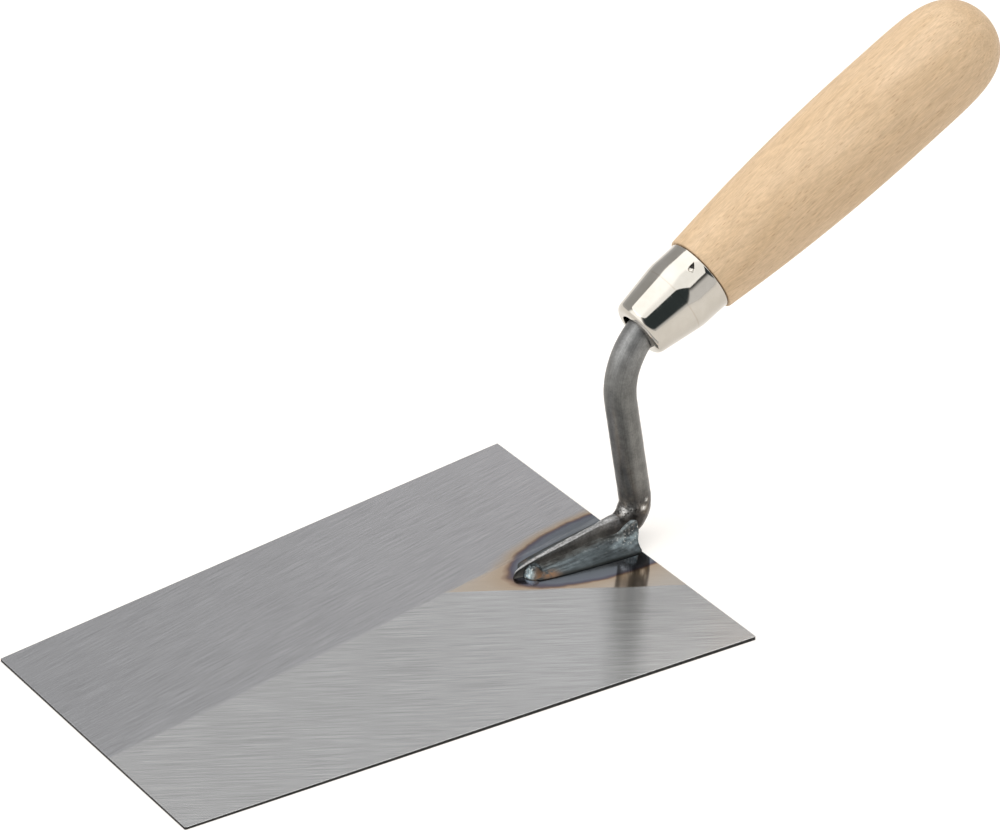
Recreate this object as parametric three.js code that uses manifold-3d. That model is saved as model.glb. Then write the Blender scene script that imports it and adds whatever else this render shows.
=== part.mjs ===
// Plastering trowel: a flat tapered steel blade, a forged S-shaped neck welded onto it, a drawn ferrule
// and a turned beech handle. Millimetres, +Z up, +Y from the blade towards the handle, +X to the right.
// The origin is the middle of the blade's flat underside.
import * as THREE from 'three';
import { mergeVertices } from 'three/addons/utils/BufferGeometryUtils.js';
import Module from 'manifold-3d';

const wasm = await Module();
wasm.setup();

const { degToRad, lerp, smoothstep, clamp } = THREE.MathUtils;

// ---- driving dimensions --------------------------------------------------------------------------

const CLEARANCE = 0.3; // left between pieces that are cut to each other's shape

// Blade
const BLADE_LENGTH = 180;
const BLADE_REAR_WIDTH = 128;
const BLADE_FRONT_WIDTH = 98.5;
const BLADE_THICKNESS = 1.1;
const BLADE_FRONT_THICKNESS = 0.8;
const BLADE_FLAT_LENGTH = 60; // full thickness this far in front of the rear edge, then ground thinner
const BLADE_CORNER_RADIUS = 0.7;
const REAR_EDGE = BLADE_LENGTH / 2;
const FRONT_EDGE = -BLADE_LENGTH / 2;

// Handle axis: it starts in the middle of the ferrule's small mouth and rises towards the butt
const HANDLE_ANGLE = degToRad(27.2);
const MOUTH_BEHIND_BLADE = 4.1;
const MOUTH_HEIGHT = 68.7;

// Neck: a round rod with two bends, running into the handle as a tapered tang
const ROD_RADIUS = 4.75;
const STEM_LEAN = degToRad(9.2); // the stem leans forward as it rises
const UPPER_BEND_RADIUS = 24;
const UPPER_BEND_INSIDE = 8.2; // the upper bend ends this far inside the ferrule
const LOWER_BEND_RADIUS = 7.2;
const TANG_LENGTH = 62;
const TANG_TIP_RADIUS = 1.6;

// Foot of the neck: a wedge with a narrow ridge that lies on the blade and tapers to a nose
const FOOT_TIP = 38.8; // in front of the rear edge
const NOSE_LENGTH = 8;
const RIDGE_REAR_HEIGHT = 8.4; // above the blade, where the lower bend ends
const RIDGE_FRONT_HEIGHT = 4.2; // above the blade, where the nose begins
const RIDGE_HALF_WIDTH = 0.9;
const FOOT_REAR_HALF_WIDTH = 4.2;
const FOOT_FRONT_HALF_WIDTH = 1.7;
const FOOT_HOLLOW = 0.5; // how far the wedge's sides are hollowed
const NOSE_NARROWING = 0.5; // share of its width that the nose loses at the tip
const WEDGED_IN_BEND = 0.55; // share of the change from round to wedge that the lower bend makes
const WEDGED_BEYOND_BEND = 8; // the rest is made over this length of the foot
const BEND_FLATTENED_FROM = 0.35; // share of the lower bend that stays round

// Fillet welds beside the foot, and the crater where the weld ends, to the right of its nose
const WELD_FRONT = 35; // in front of the rear edge
const WELD_REAR = -1.2; // behind the rear edge
const WELD_INNER = 1;
const WELD_FRONT_TOE = 4.1; // from the foot's middle to the weld's outer edge
const WELD_REAR_TOE = 10.4;
const WELD_END_ROUNDING = 3; // the toe draws in over this length at the rear
const WELD_FRONT_LEG = 2.4; // height of the weld against the foot
const WELD_REAR_LEG = 4.6;
const CRATER_SIZE = new THREE.Vector3(3.2, 3.4, 3.2);
const CRATER_TO_RIGHT = 2.6;
const CRATER_FROM_REAR = 33.2;

// Ferrule, measured along the handle axis from its small mouth
const FERRULE_LENGTH = 24.8;
const FERRULE_CONE_LENGTH = 16.9;
const FERRULE_MOUTH_RADIUS = 8.8;
const FERRULE_RADIUS = 11.35;
const FERRULE_WALL = 0.7;
const FERRULE_LIP_RADIUS = 1;
const FERRULE_HOLE_RADIUS = 5.6;
const NIB_DISTANCE = 22.5;
const NIB_TURN = degToRad(29); // from the top towards +X
const NIB_WIDTH = 1.9;
const NIB_LENGTH = 2.3;

// Handle, measured along the same axis. It swells as a parabola up to its thickest place, and closes
// in a full round butt from there.
const HANDLE_FRONT_RADIUS = 12.2;
const HANDLE_MAX_RADIUS = 16.13;
const HANDLE_THICKEST = 96;
const HANDLE_END = 139.3;
const BUTT_POWER = 5.7; // higher is blunter
const HANDLE_CHAMFER = 0.5;
const NOSE_START = 10.4;
const BORE_SPARE = 1.3; // the bore is this much deeper than the tang

const ROUND_SEGMENTS = 48; // round the ferrule and the handle
const SECTION_POINTS = 24; // round the neck

// ---- solids: joining and cutting -----------------------------------------------------------------

function toSolid(geometry) {
    const plain = geometry.clone();
    plain.deleteAttribute('normal');
    plain.deleteAttribute('uv');
    const merged = mergeVertices(plain, 1e-5);
    const vertProperties = new Float32Array(merged.attributes.position.array);
    const triVerts = new Uint32Array(merged.index.array);
    return new wasm.Manifold(new wasm.Mesh({ numProp: 3, vertProperties, triVerts }));
}

function toGeometry(solid) {
    const mesh = solid.getMesh();
    const geometry = new THREE.BufferGeometry();
    geometry.setAttribute('position', new THREE.BufferAttribute(mesh.vertProperties, 3));
    geometry.setIndex(new THREE.BufferAttribute(mesh.triVerts, 1));
    geometry.computeVertexNormals();
    return geometry;
}

// A closed skin over rings of points. Every ring has the same number of points, counted
// anticlockwise about the way the rings advance. Each end is closed with a fan about its middle.
function loft(rings) {
    const count = rings[0].length;
    const points = rings.flat();
    const index = [];
    for (let ring = 0; ring < rings.length - 1; ring++) {
        for (let k = 0; k < count; k++) {
            const a = ring * count + k;
            const b = ring * count + (k + 1) % count;
            index.push(a, b, a + count, b, b + count, a + count);
        }
    }
    const closeEnd = (ring, facesForward) => {
        const middle = new THREE.Vector3();
        rings[ring].forEach((point) => middle.addScaledVector(point, 1 / count));
        const centre = points.push(middle) - 1;
        for (let k = 0; k < count; k++) {
            const a = ring * count + k;
            const b = ring * count + (k + 1) % count;
            index.push(...(facesForward ? [a, b, centre] : [b, a, centre]));
        }
    };
    closeEnd(0, false);
    closeEnd(rings.length - 1, true);
    const geometry = new THREE.BufferGeometry().setFromPoints(points);
    geometry.setIndex(index);
    geometry.computeVertexNormals();
    return geometry;
}

// ---- blade ---------------------------------------------------------------------------------------

// The blade's outline seen from above, with small corner radii
function bladeOutline() {
    const corners = [
        new THREE.Vector2(BLADE_REAR_WIDTH / 2, REAR_EDGE),
        new THREE.Vector2(-BLADE_REAR_WIDTH / 2, REAR_EDGE),
        new THREE.Vector2(-BLADE_FRONT_WIDTH / 2, FRONT_EDGE),
        new THREE.Vector2(BLADE_FRONT_WIDTH / 2, FRONT_EDGE),
    ];
    const shape = new THREE.Shape();
    corners.forEach((corner, k) => {
        const before = corners[(k + 3) % 4].clone().sub(corner).setLength(BLADE_CORNER_RADIUS).add(corner);
        const after = corners[(k + 1) % 4].clone().sub(corner).setLength(BLADE_CORNER_RADIUS).add(corner);
        if (k === 0) shape.moveTo(before.x, before.y);
        else shape.lineTo(before.x, before.y);
        shape.quadraticCurveTo(corner.x, corner.y, after.x, after.y);
    });
    shape.closePath();
    return shape;
}

function bladeGeometry() {
    const outline = new THREE.ExtrudeGeometry(bladeOutline(), {
        depth: 2 * BLADE_THICKNESS,
        bevelEnabled: false,
        curveSegments: 3,
    });
    outline.translate(0, 0, -BLADE_THICKNESS / 2);

    // Side view in Y and Z, extruded across the blade
    const side = new THREE.Shape([
        new THREE.Vector2(FRONT_EDGE - 1, 0),
        new THREE.Vector2(REAR_EDGE + 1, 0),
        new THREE.Vector2(REAR_EDGE + 1, BLADE_THICKNESS),
        new THREE.Vector2(REAR_EDGE - BLADE_FLAT_LENGTH, BLADE_THICKNESS),
        new THREE.Vector2(FRONT_EDGE - 1, BLADE_FRONT_THICKNESS),
    ]);
    const wedge = new THREE.ExtrudeGeometry(side, { depth: BLADE_REAR_WIDTH + 2, bevelEnabled: false });
    wedge.translate(0, 0, -BLADE_REAR_WIDTH / 2 - 1);
    wedge.applyMatrix4(new THREE.Matrix4().makeBasis(
        new THREE.Vector3(0, 1, 0),
        new THREE.Vector3(0, 0, 1),
        new THREE.Vector3(1, 0, 0),
    ));
    return toGeometry(toSolid(outline).intersect(toSolid(wedge)));
}

// ---- the neck's middle line, in the plane x = 0 --------------------------------------------------

function onHandleAxis(distance) {
    return {
        y: REAR_EDGE + MOUTH_BEHIND_BLADE + distance * Math.cos(HANDLE_ANGLE),
        z: MOUTH_HEIGHT + distance * Math.sin(HANDLE_ANGLE),
    };
}

// Points on an arc from one heading to another. Headings are angles from +Y towards +Z.
function arc(start, radius, fromHeading, toHeading, steps) {
    const side = Math.sign(toHeading - fromHeading) * radius;
    const centre = {
        y: start.y - side * Math.sin(fromHeading),
        z: start.z + side * Math.cos(fromHeading),
    };
    return Array.from({ length: steps + 1 }, (_, k) => {
        const heading = lerp(fromHeading, toHeading, k / steps);
        return {
            y: centre.y + side * Math.sin(heading),
            z: centre.z - side * Math.cos(heading),
            heading,
        };
    });
}

const TANG_HEADING = HANDLE_ANGLE + Math.PI; // from the handle down into the neck
const STEM_HEADING = 1.5 * Math.PI + STEM_LEAN; // down the stem
const FOOT_HEADING = Math.PI; // along the foot, to the front
const FOOT_REAR_AXIS = BLADE_THICKNESS + RIDGE_REAR_HEIGHT / 2;

function tangRadius(distance) {
    return lerp(ROD_RADIUS, TANG_TIP_RADIUS, clamp((distance - UPPER_BEND_INSIDE) / TANG_LENGTH, 0, 1));
}

// Sections from the tang's tip to the lower bend's end, each with its place, heading and half sizes
function rodStations(grow) {
    const tangSteps = 4;
    const tang = Array.from({ length: tangSteps }, (_, k) => {
        const distance = UPPER_BEND_INSIDE + TANG_LENGTH * (1 - k / tangSteps);
        return { ...onHandleAxis(distance), heading: TANG_HEADING, radius: tangRadius(distance) + grow };
    });
    const upper = arc(onHandleAxis(UPPER_BEND_INSIDE), UPPER_BEND_RADIUS, TANG_HEADING, STEM_HEADING, 16);
    const stemTop = upper[upper.length - 1];
    const drop = stemTop.z - FOOT_REAR_AXIS - LOWER_BEND_RADIUS * (1 + Math.sin(STEM_LEAN));
    const stemBottom = { y: stemTop.y + drop * Math.tan(STEM_LEAN), z: stemTop.z - drop };
    const lowerSteps = 14;
    const lower = arc(stemBottom, LOWER_BEND_RADIUS, STEM_HEADING, FOOT_HEADING, lowerSteps)
        .map((station, k) => ({ ...station, bent: k / lowerSteps }));
    const round = [...upper, ...lower].map((station) => ({ ...station, radius: ROD_RADIUS + grow }));
    return [...tang, ...round];
}

// Height of the foot's ridge above the blade, and its half width there, at a distance from the rear edge
function ridgeHeight(distance, rearEnd) {
    const noseStart = FOOT_TIP - NOSE_LENGTH;
    const slope = (RIDGE_REAR_HEIGHT - RIDGE_FRONT_HEIGHT) / (noseStart - rearEnd);
    if (distance <= noseStart) return RIDGE_REAR_HEIGHT - slope * (distance - rearEnd);
    const along = (distance - noseStart) / NOSE_LENGTH;
    return RIDGE_FRONT_HEIGHT * Math.sqrt(1 - 0.97 * along * along);
}

function footHalfWidth(distance, rearEnd) {
    const along = clamp((distance - rearEnd) / (FOOT_TIP - NOSE_LENGTH - rearEnd), 0, 1);
    const nose = clamp((distance - FOOT_TIP + NOSE_LENGTH) / NOSE_LENGTH, 0, 1);
    return lerp(FOOT_REAR_HALF_WIDTH, FOOT_FRONT_HALF_WIDTH, along) * (1 - NOSE_NARROWING * nose * nose);
}

// One point of the wedge's section: a flat bottom, hollow sides and a flat ridge, at an angle round it
function wedgePoint(angle, halfHeight, halfWidth, grow) {
    const corner = Math.PI / 3;
    const rise = clamp(Math.sin(angle) / Math.sin(corner), -1, 1);
    const up = (rise + 1) / 2;
    const side = lerp(halfWidth, Math.min(RIDGE_HALF_WIDTH, halfWidth), up) - 4 * FOOT_HOLLOW * up * (1 - up);
    const across = clamp(Math.cos(angle) / Math.cos(corner), -1, 1);
    const flat = Math.abs(rise) === 1;
    return [(flat ? across : Math.sign(across)) * (side + grow), rise * (halfHeight + grow)];
}

// The whole neck, with every surface moved out by grow
function neckGeometry(grow = 0) {
    const rod = rodStations(grow);
    const rearEnd = REAR_EDGE - rod[rod.length - 1].y;
    const footSteps = 16;
    const foot = Array.from({ length: footSteps }, (_, k) => {
        const distance = lerp(rearEnd, FOOT_TIP, Math.sin(((k + 1) / footSteps) * Math.PI / 2));
        return {
            y: REAR_EDGE - distance,
            z: BLADE_THICKNESS + ridgeHeight(distance, rearEnd) / 2,
            heading: FOOT_HEADING,
            radius: ROD_RADIUS + grow,
            bent: 1,
        };
    });
    const rings = [...rod, ...foot].map((station) => {
        const distance = REAR_EDGE - station.y;
        // 0 on the stem, 1 on the foot
        const flattened = smoothstep(station.bent ?? 0, BEND_FLATTENED_FROM, 1);
        const finished = smoothstep(distance, rearEnd, rearEnd + WEDGED_BEYOND_BEND);
        const wedged = lerp(finished, flattened, WEDGED_IN_BEND);
        const halfHeight = ridgeHeight(Math.max(distance, rearEnd), rearEnd) / 2;
        const halfWidth = footHalfWidth(distance, rearEnd);
        return Array.from({ length: SECTION_POINTS }, (_, k) => {
            const angle = (k / SECTION_POINTS) * 2 * Math.PI;
            const [wedgeAcross, wedgeUp] = wedgePoint(angle, halfHeight, halfWidth, grow);
            const squash = lerp(1, (halfHeight + grow) / station.radius, flattened);
            const across = lerp(station.radius * Math.cos(angle), wedgeAcross, wedged);
            const up = lerp(station.radius * squash * Math.sin(angle), wedgeUp, wedged);
            return new THREE.Vector3(
                across,
                station.y + up * Math.sin(station.heading),
                station.z - up * Math.cos(station.heading),
            );
        });
    });
    return loft(rings);
}

// ---- welds ---------------------------------------------------------------------------------------

const aroundNeck = toSolid(neckGeometry(CLEARANCE));

// The largest single body of a solid, without slivers left by a cut
function largestBody(solid) {
    return solid.decompose().sort((a, b) => b.volume() - a.volume())[0];
}

// The crater is a squashed dome beside the foot's nose
function domeSolid(grow) {
    const dome = new THREE.SphereGeometry(1, 20, 12);
    dome.scale(CRATER_SIZE.x + grow, CRATER_SIZE.y + grow, CRATER_SIZE.z + grow);
    dome.translate(CRATER_TO_RIGHT, REAR_EDGE - CRATER_FROM_REAR, BLADE_THICKNESS);
    return toSolid(dome);
}

function craterSolid() {
    const below = new THREE.BoxGeometry(40, 40, 10);
    below.translate(0, REAR_EDGE - CRATER_FROM_REAR, BLADE_THICKNESS - 5);
    return largestBody(domeSolid(0).subtract(toSolid(below)).subtract(aroundNeck));
}

// A fillet with a hollow face, from the blade up the foot's side. side is 1 for +X and -1 for -X.
function filletSolid(side) {
    const steps = 14;
    const rings = Array.from({ length: steps + 1 }, (_, k) => {
        const along = 1 - Math.pow(1 - k / steps, 1.5); // 0 at the front, closer steps at the rear
        const distance = lerp(WELD_FRONT, WELD_REAR, along);
        const end = clamp(1 - (distance - WELD_REAR) / WELD_END_ROUNDING, 0, 1);
        const toe = lerp(WELD_FRONT_TOE, WELD_REAR_TOE, Math.pow(along, 0.6)) * (1 - 0.4 * end * end);
        const crest = WELD_INNER + lerp(1.1, 3, along);
        const leg = lerp(WELD_FRONT_LEG, WELD_REAR_LEG, smoothstep(along, 0, 0.6));
        const outline = [
            [WELD_INNER, 0],
            [toe, 0],
            [toe, 0.25],
            [lerp(crest, toe, 0.6), leg * 0.3],
            [lerp(crest, toe, 0.28), leg * 0.62],
            [crest, leg],
            [WELD_INNER, leg],
        ];
        const y = REAR_EDGE - distance;
        const ring = outline.map(([across, up]) => new THREE.Vector3(side * across, y, BLADE_THICKNESS + up));
        return side > 0 ? ring.reverse() : ring;
    });
    return largestBody(toSolid(loft(rings)).subtract(aroundNeck).subtract(domeSolid(CLEARANCE)));
}

// ---- ferrule and handle, turned about their own Y axis -------------------------------------------

// Their own frame: Y along the handle axis from the mouth, Z on the upper side
const handleFrame = new THREE.Matrix4()
    .makeTranslation(0, onHandleAxis(0).y, onHandleAxis(0).z)
    .multiply(new THREE.Matrix4().makeRotationX(HANDLE_ANGLE));

const coneRadius = (distance) => lerp(FERRULE_MOUTH_RADIUS, FERRULE_RADIUS, distance / FERRULE_CONE_LENGTH);

function ferruleGeometry() {
    const lip = FERRULE_LIP_RADIUS;
    const wall = FERRULE_WALL;
    const profile = new THREE.Path();
    profile.moveTo(FERRULE_HOLE_RADIUS, 0);
    profile.lineTo(FERRULE_MOUTH_RADIUS - lip, 0);
    profile.quadraticCurveTo(FERRULE_MOUTH_RADIUS, 0, coneRadius(lip), lip);
    profile.lineTo(FERRULE_RADIUS, FERRULE_CONE_LENGTH);
    profile.lineTo(FERRULE_RADIUS, FERRULE_LENGTH);
    profile.lineTo(FERRULE_RADIUS - wall, FERRULE_LENGTH);
    profile.lineTo(FERRULE_RADIUS - wall, FERRULE_CONE_LENGTH);
    profile.lineTo(coneRadius(lip + wall) - wall, lip + wall);
    profile.lineTo(FERRULE_MOUTH_RADIUS - wall - lip, wall);
    profile.lineTo(FERRULE_HOLE_RADIUS, wall);
    profile.lineTo(FERRULE_HOLE_RADIUS, 0);
    const shell = new THREE.LatheGeometry(profile.getPoints(4), ROUND_SEGMENTS);

    // The nib is punched through the band with a three-sided point
    const point = new THREE.Shape([
        new THREE.Vector2(-NIB_WIDTH / 2, -NIB_LENGTH / 2),
        new THREE.Vector2(NIB_WIDTH / 2, -NIB_LENGTH / 2),
        new THREE.Vector2(0, NIB_LENGTH / 2),
    ]);
    const punch = new THREE.ExtrudeGeometry(point, { depth: 3 * wall, bevelEnabled: false });
    punch.translate(0, NIB_DISTANCE, FERRULE_RADIUS - 2 * wall);
    punch.rotateY(NIB_TURN);
    const neckHere = neckGeometry(CLEARANCE).applyMatrix4(handleFrame.clone().invert());
    return toGeometry(toSolid(shell).subtract(toSolid(punch)).subtract(toSolid(neckHere)));
}

function handleRadius(distance) {
    const front = FERRULE_LENGTH + CLEARANCE;
    if (distance < HANDLE_THICKEST) {
        const before = (HANDLE_THICKEST - distance) / (HANDLE_THICKEST - front);
        return HANDLE_MAX_RADIUS - (HANDLE_MAX_RADIUS - HANDLE_FRONT_RADIUS) * before * before;
    }
    const along = (distance - HANDLE_THICKEST) / (HANDLE_END - HANDLE_THICKEST);
    return HANDLE_MAX_RADIUS * Math.sqrt(1 - Math.pow(along, BUTT_POWER));
}

function handleGeometry() {
    const tangEnd = UPPER_BEND_INSIDE + TANG_LENGTH;
    const front = FERRULE_LENGTH + CLEARANCE;
    const noseGap = FERRULE_WALL + CLEARANCE;
    const profile = [
        [tangEnd + BORE_SPARE, 0],
        [tangEnd + BORE_SPARE, TANG_TIP_RADIUS + CLEARANCE],
        [tangEnd, TANG_TIP_RADIUS + CLEARANCE],
        [NOSE_START, tangRadius(NOSE_START) + CLEARANCE],
        [NOSE_START, coneRadius(NOSE_START) - noseGap],
        [FERRULE_CONE_LENGTH, FERRULE_RADIUS - noseGap],
        [front, FERRULE_RADIUS - noseGap],
        [front, HANDLE_FRONT_RADIUS - HANDLE_CHAMFER],
    ];
    const swellSteps = 12;
    for (let k = 0; k <= swellSteps; k++) {
        const distance = lerp(front + HANDLE_CHAMFER, HANDLE_THICKEST, k / swellSteps);
        profile.push([distance, handleRadius(distance)]);
    }
    const buttSteps = 14;
    for (let k = 2; k < buttSteps; k++) {
        const share = Math.cos((k / buttSteps) * Math.PI / 2); // of the largest radius
        const along = Math.pow(1 - share * share, 1 / BUTT_POWER);
        const distance = lerp(HANDLE_THICKEST, HANDLE_END, along);
        profile.push([distance, handleRadius(distance)]);
    }
    profile.push([HANDLE_END, 0]);
    const points = profile.map(([distance, radius]) => new THREE.Vector2(radius, distance));
    return new THREE.LatheGeometry(points, ROUND_SEGMENTS);
}

// ---- the assembly --------------------------------------------------------------------------------

const finishes = {
    blade: { color: 0xa5a3a4, roughness: 0.38, metalness: 1 },
    neck: { color: 0x6e6c68, roughness: 0.42, metalness: 1 },
    weld: { color: 0x5d6a6c, roughness: 0.5, metalness: 0.8 },
    ferrule: { color: 0xd9d4c4, roughness: 0.12, metalness: 1 },
    handle: { color: 0xdebd94, roughness: 0.6, metalness: 0 },
};

function piece(name, geometry, finish) {
    const mesh = new THREE.Mesh(geometry, new THREE.MeshStandardMaterial(finishes[finish]));
    mesh.name = name;
    return mesh;
}

const group = new THREE.Group();
const turned = new THREE.Group();
handleFrame.decompose(turned.position, turned.quaternion, turned.scale);

turned.add(piece('ferrule', ferruleGeometry(), 'ferrule'));
turned.add(piece('handle', handleGeometry(), 'handle'));
group.add(piece('blade', bladeGeometry(), 'blade'));
group.add(piece('neck', neckGeometry(), 'neck'));
group.add(piece('weld_left', toGeometry(filletSolid(-1)), 'weld'));
group.add(piece('weld_right', toGeometry(filletSolid(1)), 'weld'));
group.add(piece('weld_tip', toGeometry(craterSolid()), 'weld'));
group.add(turned);

export default group;
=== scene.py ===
"""Looks of the plastering trowel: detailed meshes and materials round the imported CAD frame."""

from math import copysign, cos, exp, hypot, pi, radians, sin, sqrt, tan

import bpy
from mathutils import Matrix, Vector, noise


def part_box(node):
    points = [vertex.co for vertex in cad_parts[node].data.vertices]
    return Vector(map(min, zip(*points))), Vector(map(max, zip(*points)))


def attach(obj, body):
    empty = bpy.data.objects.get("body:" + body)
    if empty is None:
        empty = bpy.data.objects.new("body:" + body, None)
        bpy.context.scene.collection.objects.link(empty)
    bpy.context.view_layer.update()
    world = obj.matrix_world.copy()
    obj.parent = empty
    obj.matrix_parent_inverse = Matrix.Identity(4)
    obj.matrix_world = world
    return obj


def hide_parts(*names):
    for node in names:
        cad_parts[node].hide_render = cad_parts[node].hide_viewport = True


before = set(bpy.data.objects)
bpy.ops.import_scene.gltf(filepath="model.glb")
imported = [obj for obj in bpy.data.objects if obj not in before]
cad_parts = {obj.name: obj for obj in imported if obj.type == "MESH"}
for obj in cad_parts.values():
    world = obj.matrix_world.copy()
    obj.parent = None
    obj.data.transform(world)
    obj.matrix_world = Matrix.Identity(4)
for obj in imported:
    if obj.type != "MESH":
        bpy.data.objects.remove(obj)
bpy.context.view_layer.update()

MM = 0.001

# ---- sizes, as in the CAD model where nothing else is said ----

BLADE_LOW, BLADE_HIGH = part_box("blade")
REAR_EDGE = BLADE_HIGH.y
FRONT_EDGE = BLADE_LOW.y
BLADE_TOP = BLADE_HIGH.z
REAR_HALF_WIDTH = BLADE_HIGH.x
FRONT_HALF_WIDTH = 49.25 * MM
FRONT_THICKNESS = 0.8 * MM
FLAT_LENGTH = 60 * MM
CORNER_RADIUS = 0.7 * MM
EDGE_BREAK = 0.1 * MM

HANDLE_ANGLE = radians(27.2)
MOUTH_BEHIND_BLADE = 4.1 * MM
MOUTH_HEIGHT = 68.7 * MM

ROD_RADIUS = 4.75 * MM
STEM_LEAN = radians(9.2)
UPPER_BEND_RADIUS = 24 * MM
UPPER_BEND_INSIDE = 8.2 * MM
LOWER_BEND_RADIUS = 7.2 * MM
TANG_LENGTH = 62 * MM
TANG_TIP_RADIUS = 1.6 * MM

FOOT_TIP = 38.8 * MM
NOSE_LENGTH = 8 * MM
NOSE_TIP_HEIGHT = 2.0 * MM  # this and the next two make the nose finer than the CAD one
NOSE_NARROWING = 0.8
RIDGE_SHARE = 0.36  # the ridge is never wider than this share of the foot's base
RIDGE_REAR_HEIGHT = 8.4 * MM
RIDGE_FRONT_HEIGHT = 4.2 * MM
RIDGE_HALF_WIDTH = 0.9 * MM
FOOT_REAR_HALF_WIDTH = 4.2 * MM
FOOT_FRONT_HALF_WIDTH = 1.7 * MM
FOOT_HOLLOW = 0.5 * MM
WEDGED_IN_BEND = 0.55
WEDGED_BEYOND_BEND = 8 * MM
BEND_FLATTENED_FROM = 0.35

# The welds are a little fuller than in the CAD model, and the crater is nearer to the foot
WELD_FRONT = 35.5 * MM
WELD_REAR = -1.3 * MM
WELD_INNER = 0.6 * MM
WELD_FRONT_TOE = 4.3 * MM
WELD_REAR_TOE = 10.5 * MM
WELD_TOE_STEP = 0.28 * MM
CRATER_SIZE = Vector((3.2, 3.5, 3.4)) * MM
CRATER_TO_RIGHT = 1.5 * MM
CRATER_FROM_REAR = 32.7 * MM
SUNK = 0.03 * MM  # how far the weld metal reaches into the blade

FERRULE_LENGTH = 24.8 * MM
CONE_LENGTH = 16.9 * MM
FERRULE_MOUTH_RADIUS = 8.8 * MM
FERRULE_RADIUS = 11.35 * MM
FERRULE_WALL = 0.7 * MM
HOLE_RADIUS = 5.6 * MM
# The CAD model has a lip of half this radius, no drawn shoulder, and a plainer nib
LIP_RADIUS = 2.1 * MM
CREASE = 13.8 * MM  # where the cone starts to round over into the band, and how wide it is there
CREASE_RADIUS = 11.05 * MM
CREASE_LINE = 0.3 * MM
BAND_START = 17.2 * MM
NIB_DISTANCE = 21.2 * MM  # to the middle of its round dimple
NIB_TURN = radians(30.7)
NIB_SKEW = radians(25)
NIB_RADIUS = 0.8 * MM
NIB_BASE = 0.45 * MM
NIB_POINT = 2.35 * MM

HANDLE_FRONT = 25.1 * MM
HANDLE_FRONT_RADIUS = 12.2 * MM
HANDLE_MAX_RADIUS = 16.13 * MM
HANDLE_THICKEST = 96 * MM
HANDLE_END = 139.3 * MM
BUTT_POWER = 5.7
NOSE_START = 10.4 * MM
BORE_SPARE = 1.3 * MM
CLEARANCE = 0.3 * MM

# The blade's belt marks and heat tint, which only the looks have
LEFT_PASS_ANGLE = radians(7.0)  # from +Y towards -X
LEFT_PASS_AT_REAR = -12.1 * MM  # where its border meets the rear edge
RIGHT_PASS_ANGLE = radians(31.5)  # from +Y towards +X
RIGHT_PASS_AT_REAR = 31.0 * MM
TINT_LENGTH = 39.5 * MM  # the purple ring's reach to the front and to either side
TINT_HALF_WIDTH = 16.0 * MM
TINT_TO_RIGHT = 0.6 * MM

# ---- small helpers ----


def lerp(a, b, share):
    return a + (b - a) * share


def clamp(value, low=0.0, high=1.0):
    return max(low, min(high, value))


def smoothstep(value, low, high):
    share = clamp((value - low) / (high - low))
    return share * share * (3 - 2 * share)


def shares(steps):
    """Equal steps from just above 0 up to 1."""
    return [k / steps for k in range(1, steps + 1)]


def turns(count):
    """Angles once round, from 0."""
    return [k / count * 2 * pi for k in range(count)]


def bell(value, middle, width):
    """1 at the middle, falling off to 0 a few widths away."""
    return exp(-(((value - middle) / width) ** 2))


def rough_noise(x, y, z=0.0, octaves=3):
    """Smooth noise of about -1 to 1, with finer octaves on top."""
    return noise.fractal(Vector((x, y, z)), 1.0, 2.0, octaves)


def loft(rings, closed=False):
    """Vertices and faces of a skin over rings of points, each counted anticlockwise about the way
    they advance. The ends are closed with fans, or joined to each other where closed is true."""
    count = len(rings[0])
    points = [point for ring in rings for point in ring]
    faces = []
    spans = len(rings) if closed else len(rings) - 1
    for ring in range(spans):
        here = ring * count
        there = (ring + 1) % len(rings) * count
        for k in range(count):
            after = (k + 1) % count
            faces.append((here + k, here + after, there + after, there + k))
    if not closed:
        for start, forward in ((0, False), ((len(rings) - 1) * count, True)):
            middle = sum((Vector(points[start + k]) for k in range(count)), Vector()) / count
            points.append(middle)
            centre = len(points) - 1
            for k in range(count):
                pair = (start + k, start + (k + 1) % count)
                faces.append((*(pair if forward else pair[::-1]), centre))
    return points, faces


def add_object(name, data):
    made = bpy.data.objects.new(name, data)
    bpy.context.scene.collection.objects.link(made)
    return made


def make_piece(name, node, skin, materials, sharp_angle, chosen=None, masks=None):
    """A smooth-shaded piece that rides on the trowel's one body and stands for its CAD node. skin
    is points and faces, chosen gives each face's material number, and masks give values of the
    first points by name. The points past them, inside and at the ends of a skin, have 0."""
    points, faces = skin
    mesh = bpy.data.meshes.new(name)
    mesh.from_pydata([tuple(p) for p in points], [], faces)
    for material in materials:
        mesh.materials.append(material)
    if chosen:
        mesh.polygons.foreach_set("material_index", chosen)
    for mask, values in (masks or {}).items():
        padded = values + [0.0] * (len(points) - len(values))
        mesh.attributes.new(mask, "FLOAT", "POINT").data.foreach_set("value", padded)
    mesh.shade_smooth()
    mesh.set_sharp_from_angle(angle=radians(sharp_angle))
    mesh.validate()
    piece = add_object(name, mesh)
    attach(piece, "root")
    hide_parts(node)


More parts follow.
